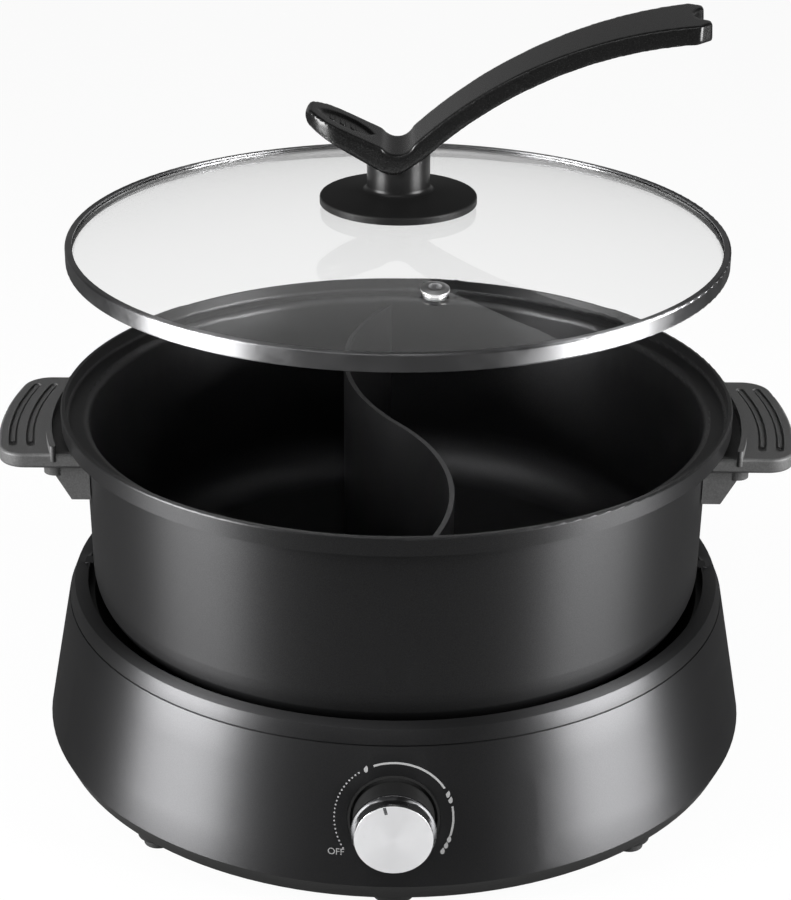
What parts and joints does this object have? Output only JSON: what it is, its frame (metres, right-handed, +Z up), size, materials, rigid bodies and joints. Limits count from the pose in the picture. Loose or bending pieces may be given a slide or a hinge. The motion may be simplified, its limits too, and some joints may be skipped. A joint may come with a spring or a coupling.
{
  "type": "electric hot pot",
  "caption": "Electric hot pot with a heating base, a lift-off divided pot with side handles and a domed glass lid with a slanted arm handle, lid lifted.",
  "frame": {"origin": "on the pot's axis, on the table under the feet", "axes": "+Z up, -Y towards the knob, +X along the side handles to the right of the knob"},
  "size_m": [0.365, 0.3477, 0.3526],
  "materials": {
    "grey_paint": "satin",
    "black_plastic": "matte",
    "white_plastic": "matte",
    "rubber": "matte",
    "black_enamel": "satin",
    "cast_aluminium": "satin",
    "steel": "brushed",
    "brass": "satin",
    "chrome": "polished",
    "coated_pot": "satin",
    "clear_glass": "polished"
  },
  "bodies": {
    "base": {"base_housing": "grey_paint", "base_ring": "grey_paint", "well_pan": "black_enamel", "bottom_cover": "black_plastic", "foot_pads": "rubber", "cover_screws": "steel", "heating_plate": "cast_aluminium", "heating_element": "steel", "heater_posts": "steel", "thermal_cutout": "steel", "thermal_fuse": "brass", "fuse_strap": "steel", "terminal_block": "white_plastic", "dial_bezel": "black_plastic", "regulator_body": "white_plastic", "regulator_tabs": "brass", "regulator_nut": "steel", "regulator_bracket": "steel", "power_inlet": "black_plastic", "inlet_pins": "brass", "inlet_screws": "steel"},
    "knob": {"regulator_shaft": "steel", "knob_body": "black_plastic", "knob_face": "chrome", "knob_clip": "steel"},
    "pot": {"pot_body": "coated_pot", "pot_divider": "coated_pot", "handle_right": "black_plastic", "handle_left": "black_plastic", "handle_bracket_right": "steel", "handle_bracket_left": "steel", "handle_screws": "steel"},
    "lid": {"lid_glass": "clear_glass", "lid_band": "chrome", "lid_seal": "rubber", "steam_vent": "chrome", "lid_gasket": "rubber", "lid_flange": "black_plastic", "lid_handle": "black_plastic", "lid_washer": "steel", "lid_screw": "steel"}
  },
  "joints": [
    {"name": "knob_turn", "type": "hinge", "parent": "base", "child": "knob", "pos_m": [0, -0.1574, 0.0487], "axis": [0, 1, 0], "range_deg": [-111, 139]},
    {"name": "pot_lift", "type": "slide", "parent": "base", "child": "pot", "axis": [0, 0, 1], "range_m": [0, 0.12]},
    {"name": "lid_lift", "type": "slide", "parent": "pot", "child": "lid", "axis": [0, 0, 1], "range_m": [-0.0745, 0]}
  ]
}
